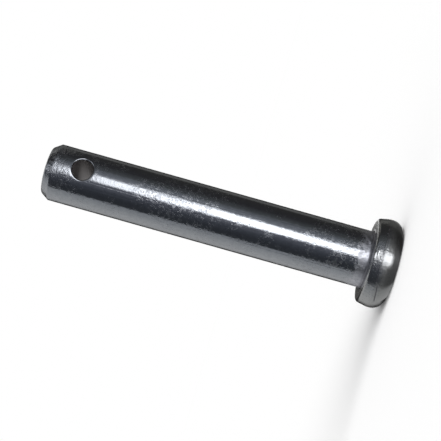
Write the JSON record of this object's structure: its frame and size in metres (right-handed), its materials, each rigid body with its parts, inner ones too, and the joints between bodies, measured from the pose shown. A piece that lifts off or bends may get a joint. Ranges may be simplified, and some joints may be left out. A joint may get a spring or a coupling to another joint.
{
  "type": "clevis pin",
  "caption": "Zinc-plated steel clevis pin: plain round shank, thick button head, tapered point and a cross hole near the point for a cotter or clip.",
  "frame": {"origin": "centre of the head's flat outer face, which the pin stands on", "axes": "+Z along the shank from the head to the point; Y along the cross hole"},
  "size_m": [0.022, 0.022, 0.0865],
  "materials": {
    "zinc_plate": "bright zinc plate over turned and headed steel"
  },
  "bodies": {
    "root": {"clevis_pin": "zinc_plate"}
  },
  "joints": []
}
